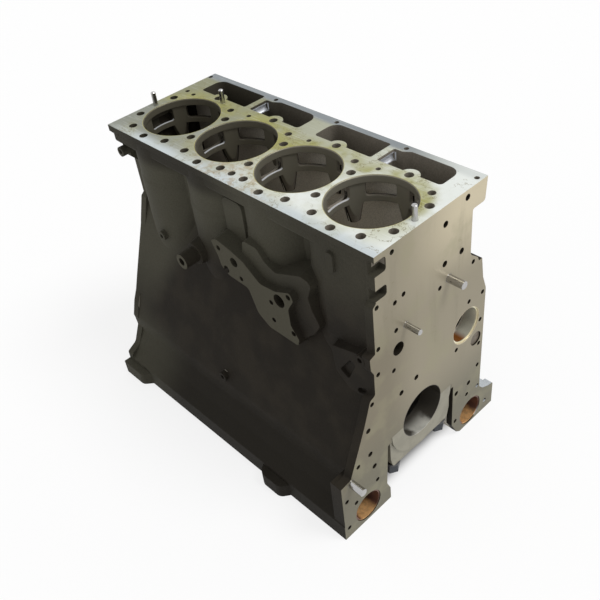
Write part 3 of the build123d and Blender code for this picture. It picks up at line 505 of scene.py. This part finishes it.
def milled_lines(name):
    """Fine lines that a cutter leaves across one direction, slightly bent."""
    group, taken, given = new_group(
        name, [("Coordinates", "Vector", None), ("Across", "Vector", (1.0, 0.0, 0.0)),
               ("Pitch", "Float", 0.0016), ("Bend", "Float", 0.004), ("Wave", "Float", 0.25),
               ("Spread", "Float", 1.7)],
        ["Height", "Tone"])
    dot = add_node(group, "ShaderNodeVectorMath", operation="DOT_PRODUCT")
    feed(group, dot.inputs[0], taken["Coordinates"])
    feed(group, dot.inputs[1], taken["Across"])
    bend = noise(group, taken["Coordinates"], scale=14.0, detail=1.0)
    place = maths(group, "ADD", dot.outputs["Value"], scaled(group, bend, taken["Bend"]))
    turns = maths(group, "DIVIDE", place, taken["Pitch"])
    wave = maths(group, "SINE", scaled(group, turns, math.tau))
    line = add_node(group, "ShaderNodeTexNoise", noise_dimensions="1D")
    feed(group, line.inputs["W"],
         maths(group, "DIVIDE", place, scaled(group, taken["Pitch"], taken["Spread"])))
    feed(group, line.inputs["Detail"], 3.0)
    feed(group, given["Height"],
         maths(group, "ADD", scaled(group, wave, taken["Wave"]), line.outputs["Fac"]))
    feed(group, given["Tone"], line.outputs["Fac"])
    return group


def metal_grain(name):
    """Faint clouds and a fine grain on a fitting."""
    group, taken, given = new_group(
        name, [("Coordinates", "Vector", None), ("Grain", "Float", 0.004)], ["Clouds", "Fine"])
    wide = noise(group, taken["Coordinates"], maths(group, "DIVIDE", 0.5, taken["Grain"]), detail=3.0)
    fine = noise(group, taken["Coordinates"], maths(group, "DIVIDE", 4.0, taken["Grain"]),
                 detail=3.0, roughness=0.6)
    feed(group, given["Clouds"], between(group, wide, 0.40, 0.66))
    feed(group, given["Fine"], fine)
    return group


def ragged_height(name):
    """Height with a noise on it, so that what follows it gets a ragged edge."""
    group, taken, given = new_group(
        name, [("Coordinates", "Vector", None), ("Scale", "Float", 60.0), ("Detail", "Float", 2.0),
               ("Reach", "Float", 0.01)], ["Height"])
    patch = noise(group, taken["Coordinates"], taken["Scale"], taken["Detail"])
    shift = scaled(group, maths(group, "SUBTRACT", patch, NOISE_MIDDLE), taken["Reach"])
    _, _, z = split(group, taken["Coordinates"])
    feed(group, given["Height"], maths(group, "ADD", z, shift))
    return group


SHARED_EFFECTS = {
    "On machined plane": machined_plane, "Nearest bore": nearest_bore, "Cast skin": cast_skin,
    "Milled lines": milled_lines, "Metal grain": metal_grain, "Ragged height": ragged_height,
}


def use_group(tree, name, **values):
    """Places a shared effect with its own values, and builds the effect where it is the first."""
    group = bpy.data.node_groups.get(name) or SHARED_EFFECTS[name](name)
    made = add_node(tree, "ShaderNodeGroup", node_tree=group)
    for label, value in values.items():
        feed(tree, made.inputs[label], value)
    return made.outputs


def new_material(name):
    material = bpy.data.materials.new(name)
    material.use_nodes = True
    tree = material.node_tree
    shader = tree.nodes["Principled BSDF"]
    place = tree.nodes.new("ShaderNodeTexCoord")
    return material, tree, shader, place.outputs


def bump(tree, height, distance, soft=None):
    """A grain, over edges that look rounded by soft where it is given."""
    made = add_node(tree, "ShaderNodeBump")
    feed(tree, made.inputs["Strength"], 1.0)
    feed(tree, made.inputs["Height"], height)
    feed(tree, made.inputs["Distance"], distance)
    if soft is not None:
        edge = add_node(tree, "ShaderNodeBevel", samples=4)
        feed(tree, edge.inputs["Radius"], soft)
        feed(tree, made.inputs["Normal"], edge.outputs["Normal"])
    return made.outputs["Normal"]


def dress(nodes, material):
    """Puts one material in the slots of the CAD nodes."""
    for name in nodes:
        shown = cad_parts[name]
        if not shown.material_slots:
            shown.data.materials.append(material)
        for slot in shown.material_slots:
            slot.material = material


def named(start):
    found = sorted(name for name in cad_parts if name.startswith(start))
    if not found:
        raise RuntimeError("the packed model has no node that starts with " + start)
    return found


class Surface:
    """The block's material while it is built, with its places, directions, patterns and masks by name."""

    def __init__(self, name):
        self.material, self.tree, self.shader, place = new_material(name)
        self.spot = place["Object"]
        self.fields = dict(zip(("x", "y", "z"), split(self.tree, self.spot)))
        self.fields.update(zip(("way x", "way y", "way z"), split(self.tree, place["Normal"])))

    def where(self, *conditions):
        """1 where all conditions hold, each a mask's name, a span or a limit."""
        result = None
        for field, *rule in conditions:
            mask = self.fields[field]
            if rule and rule[0] in ("<", ">"):
                mask = maths(self.tree, "LESS_THAN" if rule[0] == "<" else "GREATER_THAN", mask, rule[1])
            elif rule:
                mask = between(self.tree, mask, *rule)
            result = mask if result is None else scaled(self.tree, result, mask)
        return result

    def mark(self, name, *conditions):
        """Names the mask that the conditions make."""
        self.fields[name] = self.where(*conditions)

    def join(self, name, *masks):
        """Names the mask that is 1 where any of the named masks is."""
        result = self.fields[masks[0]]
        for mask in masks[1:]:
            result = maths(self.tree, "MAXIMUM", result, self.fields[mask])
        self.fields[name] = result

    def paint(self, colours, base, layers):
        """Lays each layer's colour over the base, by its share where its conditions hold."""
        shown = base
        for name, share, *conditions in layers:
            mask = scaled(self.tree, self.where(*conditions), share)
            shown = blend(self.tree, mask, shown, getattr(colours, name))
        return shown


def measure_block(iron):
    """Names the distances that the block's masks read."""
    tree, fields = iron.tree, iron.fields
    for axis in ("x", "y"):
        fields["off " + axis] = maths(tree, "ABSOLUTE", fields[axis])
    fields["tilt"] = maths(tree, "ABSOLUTE", fields["way z"])
    fields["lean"] = maths(tree, "MULTIPLY", fields["way y"], fields["y"])
    fields["radius"] = use_group(tree, "Nearest bore", Coordinates=iron.spot)["Radius"]
    fields["off main bore"] = off(tree, length(tree, fields["y"], fields["z"]), MAIN_BORE_RADIUS)
    for name, across, (middle, height) in (("from cam", "y", (CAM_Y, CAM_Z)), ("from pad", "x", PAD_MIDDLE),
                                           ("from tube", "x", TUBE_MIDDLE)):
        fields[name] = length(tree, maths(tree, "SUBTRACT", fields[across], middle),
                              maths(tree, "SUBTRACT", fields["z"], height))
    fields["off groove"] = maths(tree, "MINIMUM", *(off(tree, fields["x"], at) for at in GROOVE_XS))
    fields["off sill"] = off(tree, fields["z"], SILL_Z)
    # the rear bore's axis is one and a half pitches behind the middle, so each axis reads as one half
    pitches = maths(tree, "DIVIDE", maths(tree, "ADD", fields["x"], 2 * BORE_PITCH), BORE_PITCH)
    fields["past pitch"] = maths(tree, "FRACT", pitches)


def mark_block(iron):
    """Names a mask for each part of the block that has a colour of its own."""
    for name, (axis, place, way) in PLANES.items():
        facing = scaled(iron.tree, iron.fields["way " + axis], way)
        iron.fields[name] = use_group(iron.tree, "On machined plane", Place=iron.fields[axis],
                                      Plane=place, Facing=facing)["Mask"]
    iron.mark("pad face", ("pad plane",), ("from pad", "<", PAD_REACH))
    iron.mark("tube face", ("tube plane",), ("from tube", "<", TUBE_REACH))
    iron.join("pad", "pad face", "tube face")
    iron.join("ends", "front", "rear", "sump")

    iron.mark("wall", ("z", ">", WALL_LOW_Z), ("z", "<", WALL_TOP_Z), ("radius", "<", WALL_RADIUS),
              ("tilt", "<", LEVEL))
    iron.mark("main bore", ("off main bore", "<", BORE_REACH))
    iron.mark("housing", ("from cam", "<", HOUSING_RADIUS), ("x", ">", HOUSING_X))
    iron.mark("tunnel", ("from cam", "<", TUNNEL_RADIUS), ("x", "<", TUNNEL_X))
    # where the painted glint lies on the sills
    iron.mark("sill_glint", ("radius", "<", SILL_RADIUS), ("way z", ">", UPWARD), ("y", "<", SILL_RIGHT_Y),
              ("past pitch", "<", AXIS_SHARE), ("off sill", "<", SILL_REACH))

    iron.mark("in pocket", ("y", ">", POCKET_LEFT_Y - SLACK), ("y", "<", POCKET_RIGHT_Y + SLACK),
              ("z", ">", POCKET_LOW_Z), ("off x", "<", POCKET_END_X))
    iron.mark("groove", ("in pocket",), ("z", ">", GROOVE_LOW_Z), ("z", "<", GROOVE_HIGH_Z),
              ("way x", ">", FORWARD), ("off groove", "<", GROOVE_REACH))
    iron.mark("pocket walls", ("in pocket",), ("z", "<", DECK_Z - THIN_SLACK))
    iron.mark("liner space", ("radius", "<", LINER_SPACE_RADIUS), ("z", ">", CRANKCASE_TOP_Z))
    iron.mark("deck holes", ("z", ">", HOLE_LOW_Z), ("y", ">", HOLES_LEFT_Y), ("y", "<", HOLES_RIGHT_Y),
              ("x", "<", FRONT_X - SLACK), ("tilt", "<", UPRIGHT))
    iron.join("inside", "liner space", "pocket walls", "deck holes")

    iron.mark("round bores", ("radius", "<", JACKET_RADIUS))
    iron.mark("beside bores", ("y", ">", 0.0), ("y", "<", JACKET_RIGHT_Y))
    iron.join("jacket", "round bores", "beside bores")
    iron.mark("behind ring", ("radius", ">", RING_BACK_RADIUS))
    iron.mark("under ring", ("z", "<", RING_LOW_Z))
    iron.join("past ring", "behind ring", "under ring")
    iron.mark("water", ("jacket",), ("past ring",), ("z", "<", JACKET_TOP_Z), ("z", ">", CRANKCASE_TOP_Z),
              ("off x", "<", JACKET_END_X))
    iron.mark("bays", ("z", "<", CRANKCASE_TOP_Z), ("off y", "<", BAY_RIGHT_Y), ("x", "<", BAY_FRONT_X),
              ("x", ">", BAY_REAR_X), ("lean", "<", BAY_LEAN))
    iron.join("depths", "water", "bays")
    iron.join("bare", "deck", "ends", "wall", "groove", "main bore", "housing")


def draw_patterns(iron):
    """Names the noises of the block and the shares and rims made from them."""
    tree, fields = iron.tree, iron.fields
    for name, values in PATTERNS.items():
        fields[name] = noise(tree, iron.spot, *values)
    fields["rims"] = between(tree, off(tree, fields["drift"], NOISE_MIDDLE), *RIM_SPAN)
    fields["off middle"] = off(tree, fields["x"], RUST_X)
    fields["lifted z"] = maths(tree, "ADD", fields["z"],
                              scaled(tree, between(tree, fields["x"], *LIFT_SPAN), LIFT))
    fields["strip share"] = blend_value(tree, between(tree, fields["x"], *STRIP_SPAN), *STRIP_SHARES)
    fields["stain share"] = blend_value(tree, between(tree, fields["y"], *STAIN_SPAN), *STAIN_SHARES)


def iron_material(scene):
    """The casting: dark cast skin, and bare iron on every face that a cutter has been over."""
    cast, milled = scene.block_cast, scene.block_milled
    iron = Surface("block iron")
    tree, shader, fields = iron.tree, iron.shader, iron.fields
    measure_block(iron)
    mark_block(iron)
    draw_patterns(iron)

    skin = use_group(tree, "Cast skin", Coordinates=iron.spot, Grain=cast.grain, Swell=cast.swell)
    fields["patches"] = skin["Patches"]
    colour = iron.paint(cast, cast.skin_dark, SKIN_LAYERS)
    # painted light inside, deep in the water space and bays, and in the cam tunnel
    for name, second in (("inside", iron.paint(cast, cast.inside_rear_painted_shade, INSIDE_LAYERS)),
                         ("depths", iron.paint(cast, cast.inside, DEPTH_LAYERS)), ("tunnel", cast.deep)):
        colour = blend(tree, fields[name], colour, second)
    colour = blend(tree, scaled(tree, skin["Speckle"], SPECKLE_SHARE), colour, cast.skin_dark)

    # painted glint on the sills at part share, beside the bright grey of the milled grooves
    fields["bright"] = maths(tree, "MAXIMUM", fields["groove"], scaled(tree, fields["sill_glint"], SILL_GLINT_SHARE))
    for name, second in (("deck", iron.paint(milled, milled.deck, DECK_LAYERS)),
                         ("ends", iron.paint(milled, milled.front, END_LAYERS)), ("pad", milled.pad),
                         ("wall", iron.paint(milled, milled.wall_rear_painted_shade, WALL_LAYERS)),
                         # painted shade in the main bearing bore
                         ("bright", milled.groove), ("main bore", milled.bore),
                         # painted light on the front of the cam housing
                         ("housing", milled.front_cream)):
        colour = blend(tree, fields[name], colour, second)

    bare = fields["bare"]
    cut = use_group(tree, "Milled lines", Coordinates=iron.spot, Across=CUTTER_ACROSS,
                    Pitch=milled.line_pitch)
    tone = scaled(tree, maths(tree, "SUBTRACT", cut["Tone"], NOISE_MIDDLE), CUTTER_TONE)
    lift = add_node(tree, "ShaderNodeHueSaturation")
    feed(tree, lift.inputs["Color"], colour)
    feed(tree, lift.inputs["Value"], maths(tree, "ADD", 1.0, scaled(tree, tone, bare)))
    feed(tree, shader.inputs["Base Color"], lift.outputs["Color"])
    feed(tree, shader.inputs["Roughness"], blend_value(tree, bare, cast.rough, milled.rough))
    feed(tree, shader.inputs["Metallic"], scaled(tree, bare, milled.shine))
    shader.inputs["Specular IOR Level"].default_value = cast.sheen
    height = blend_value(tree, bare, skin["Height"], scaled(tree, cut["Height"], CUTTER_HEIGHT))
    feed(tree, shader.inputs["Normal"], bump(tree, height, cast.grain_depth, soft=cast.edge))
    return iron.material


def plain_metal(name, colour, second, rough, metal, grain=0.004, depth=0.00004, clouds=0.3, touches=()):
    """A fitting's metal: two tones in faint clouds, a fine grain, and a colour for each mask in touches."""
    material, tree, shader, place = new_material(name)
    spot = place["Object"]
    surface = use_group(tree, "Metal grain", Coordinates=spot, Grain=grain)
    shown = blend(tree, scaled(tree, surface["Clouds"], clouds), colour, second)
    for mask, touch in touches:
        shown = blend(tree, mask(tree, spot), shown, touch)
    feed(tree, shader.inputs["Base Color"], shown)
    worn = scaled(tree, maths(tree, "SUBTRACT", surface["Fine"], NOISE_MIDDLE), WORN_REACH)
    feed(tree, shader.inputs["Roughness"], maths(tree, "ADD", rough, worn))
    shader.inputs["Metallic"].default_value = metal
    feed(tree, shader.inputs["Normal"], bump(tree, surface["Fine"], depth))
    return material


def ragged(tree, spot, scale, detail, reach):
    return use_group(tree, "Ragged height", Coordinates=spot, Scale=scale, Detail=detail,
                     Reach=reach)["Height"]


def shade_high_in_bush(tree, spot):
    """1 in the upper part of a balancer bush, where shade is painted, 0 at its bottom."""
    return between(tree, ragged(tree, spot, scale=60.0, detail=2.0, reach=0.01), *BUSH_SHADE_Z)


def oil_in_bearing(tree, spot):
    """1 in the puddle low on the left of a cam bearing."""
    low = between(tree, ragged(tree, spot, scale=90.0, detail=3.0, reach=0.03), *OIL_Z)
    return scaled(tree, low, between(tree, split(tree, spot)["Y"], *OIL_Y))


def high_in_bearing(tree, spot):
    """1 at the top of a cam bearing, which is in shade."""
    return between(tree, split(tree, spot)["Z"], *BEARING_HIGH_Z)


def front_edge(tree, spot):
    """1 on the front edge of the front cam bearing."""
    return maths(tree, "GREATER_THAN", split(tree, spot)["X"], HOUSING_X)


def cap_bore(tree, spot):
    """1 on the bore of a bearing cap."""
    _, y, z = split(tree, spot)
    return maths(tree, "LESS_THAN", length(tree, y, z), MAIN_BORE_RADIUS + BORE_REACH)


def cap_lip_reflection(tree, spot):
    """1 low in the bore of the front cap, where light comes in and a reflection is painted."""
    low = between(tree, ragged(tree, spot, scale=50.0, detail=2.0, reach=0.02), *CAP_REFLECTION_Z)
    out = between(tree, split(tree, spot)["X"], *CAP_REFLECTION_X)
    return scaled(tree, cap_bore(tree, spot), scaled(tree, out, low))


def seen_directly(tree):
    """1 for what the camera sees, also in a mirror or through glass."""
    path = add_node(tree, "ShaderNodeLightPath").outputs
    passed = maths(tree, "MAXIMUM", path["Is Glossy Ray"], path["Is Transmission Ray"])
    return maths(tree, "MAXIMUM", path["Is Camera Ray"], passed)


class BLOCK_OT_casting(bpy.types.Operator):
    """Gives the casting its cast skin and machined faces"""

    bl_idname = "block.casting"
    bl_label = "Finish the casting"

    def execute(self, context):
        dress([BLOCK], iron_material(context.scene))
        return {"FINISHED"}


class BLOCK_OT_caps(bpy.types.Operator):
    """Gives the five bearing caps their grey iron"""

    bl_idname = "block.caps"
    bl_label = "Finish the bearing caps"

    def execute(self, context):
        look, milled = context.scene.block_fittings, context.scene.block_milled
        caps = [name for name in named("main_cap_") if "bolt" not in name and "washers" not in name]
        # the caps' bore takes the painted shade of the main bore, with a painted reflection low at the front
        dress(caps, plain_metal("cap iron", look.cap, milled.bore, rough=0.45, metal=0.3,
                                grain=0.012, depth=0.00005, clouds=0.15,
                                touches=((cap_bore, milled.bore), (cap_lip_reflection, milled.bore_lip_reflection))))
        return {"FINISHED"}


class BLOCK_OT_bolts(bpy.types.Operator):
    """Gives the cap bolts and their washers dark steel"""

    bl_idname = "block.bolts"
    bl_label = "Finish bolts and washers"

    def execute(self, context):
        look = context.scene.block_fittings
        for nodes, name, colour, rough in (("main_cap_bolt", "bolt steel", look.bolt, 0.42),
                                           ("main_cap_washers", "washer steel", look.washer, 0.45)):
            dress(named(nodes), plain_metal(name, colour, tuple(look.second * part for part in colour),
                                            rough=rough, metal=0.6))
        return {"FINISHED"}


class BLOCK_OT_bushes(bpy.types.Operator):
    """Gives the balancer bushes copper and the cam bearings shiny steel"""

    bl_idname = "block.bushes"
    bl_label = "Finish bushes and bearings"

    def execute(self, context):
        look = context.scene.block_fittings
        dress(named("balancer_bush"),
              plain_metal("bush copper", look.copper, look.copper_clouds_and_shade, rough=0.34, metal=0.55,
                          touches=((shade_high_in_bush, look.copper_clouds_and_shade),)))
        dress(named("cam_bearing"),
              plain_metal("bearing steel", look.bearing, look.bearing_stain, rough=0.30, metal=0.6,
                          depth=0.000005, clouds=0.0,
                          touches=((high_in_bearing, look.bearing_high),
                                   (oil_in_bearing, look.bearing_stain),
                                   (front_edge, look.bearing_edge))))
        return {"FINISHED"}


class BLOCK_OT_pins(bpy.types.Operator):
    """Gives pins and dowels ground steel and the plugs pressed steel"""

    bl_idname = "block.pins"
    bl_label = "Finish pins and plugs"

    def execute(self, context):
        look = context.scene.block_fittings
        pins = named("deck_dowel") + named("timing_face_pin") + named("flywheel_face_dowel")
        dress(pins, plain_metal("pin steel", look.pin, tuple(look.second * part for part in look.pin),
                                rough=0.22, metal=1.0, depth=0.000001, clouds=0.1))
        plugs = named("jacket_plug") + named("idler_bore_plug") + named("rear_cam_plug")
        dress(plugs, plain_metal("plug steel", look.plug, context.scene.block_cast.skin,
                                 rough=0.5, metal=0.4))
        return {"FINISHED"}


class BLOCK_OT_studio(bpy.types.Operator):
    """Sets floor, sky, lamp and camera"""

    bl_idname = "block.studio"
    bl_label = "Set up the studio"

    def execute(self, context):
        look = context.scene.block_studio
        self.add_floor(context, look)
        self.add_sky(context.scene, look)
        self.add_lamp(context, look)
        self.add_camera(context, look)
        context.scene.view_settings.view_transform = "Standard"
        return {"FINISHED"}

    def add_floor(self, context, look):
        bpy.ops.object.select_all(action="DESELECT")
        bpy.ops.mesh.primitive_plane_add(size=look.floor_size, location=(0, 0, SUMP_Z - FLOOR_GAP))
        floor = context.object
        floor.name = "floor"
        bpy.ops.object.transform_apply(location=True, rotation=True, scale=True)
        material, tree, shader, place = new_material("floor")
        x, y, _ = split(tree, place["Object"])
        # painted shadow: inside the block's outline the floor is dark and loses its glow
        under = scaled(tree, between(tree, maths(tree, "ABSOLUTE", x), *SHADOW_PATCH_X),
                       between(tree, maths(tree, "ABSOLUTE", y), *SHADOW_PATCH_Y))
        feed(tree, shader.inputs["Base Color"], blend(tree, under, look.floor, look.floor_painted_shadow))
        shader.inputs["Roughness"].default_value = look.floor_rough
        glow = add_node(tree, "ShaderNodeEmission")
        both = add_node(tree, "ShaderNodeMixShader")
        share = scaled(tree, scaled(tree, seen_directly(tree), look.floor_glow),
                       maths(tree, "SUBTRACT", 1.0, under))
        for socket, value in zip(both.inputs, (share, shader.outputs[0], glow.outputs[0])):
            tree.links.new(value, socket)
        tree.links.new(both.outputs[0], tree.nodes["Material Output"].inputs["Surface"])
        floor.data.materials.append(material)

    def add_sky(self, scene, look):
        scene.world = bpy.data.worlds.new("sky")
        scene.world.use_nodes = True
        tree = scene.world.node_tree
        back = tree.nodes["Background"]
        back.inputs["Color"].default_value = (1, 1, 1, 1)
        feed(tree, back.inputs["Strength"], blend_value(tree, seen_directly(tree), look.sky, 1.0))

    def add_lamp(self, context, look):
        bpy.ops.object.light_add(type="SUN", location=LAMP_PLACE)
        lamp = context.object
        lamp.name = "key lamp"
        lamp.data.energy = look.key
        lamp.data.angle = look.key_spread
        lamp.rotation_euler = Vector(LAMP_FROM).to_track_quat("Z", "Y").to_euler()

    def add_camera(self, context, look):
        bpy.ops.object.camera_add(location=look.eye, rotation=look.turn)
        camera = context.object
        camera.data.lens = look.lens
        camera.data.sensor_width = SENSOR_WIDTH
        camera.data.clip_start = CLIP_START
        camera.data.clip_end = CLIP_END
        context.scene.camera = camera


class BLOCK_PT_sidebar(bpy.types.Panel):
    """Lists the block's values and its operators"""

    bl_idname = "BLOCK_PT_sidebar"
    bl_label = "Engine block"
    bl_space_type = "VIEW_3D"
    bl_region_type = "UI"
    bl_category = "Engine block"

    def draw(self, context):
        for group in GROUPS:
            values = getattr(context.scene, group)
            box = self.layout.box()
            for name in values.__annotations__:
                box.prop(values, name)
        for step in STEPS:
            self.layout.operator(step.bl_idname)


GROUPS = {"block_cast": CastIron, "block_milled": MilledIron, "block_fittings": Fittings,
          "block_studio": Studio}
STEPS = (BLOCK_OT_casting, BLOCK_OT_caps, BLOCK_OT_bolts, BLOCK_OT_bushes, BLOCK_OT_pins, BLOCK_OT_studio)


def register():
    for kind in (*GROUPS.values(), *STEPS, BLOCK_PT_sidebar):
        bpy.utils.register_class(kind)
    for name, kind in GROUPS.items():
        setattr(bpy.types.Scene, name, bpy.props.PointerProperty(type=kind))


def unregister():
    for name in GROUPS:
        delattr(bpy.types.Scene, name)
    for kind in reversed((*GROUPS.values(), *STEPS, BLOCK_PT_sidebar)):
        bpy.utils.unregister_class(kind)


def main():
    register()
    for step in STEPS:
        area, name = step.bl_idname.split(".")
        getattr(getattr(bpy.ops, area), name)()


if __name__ == "__main__":
    main()
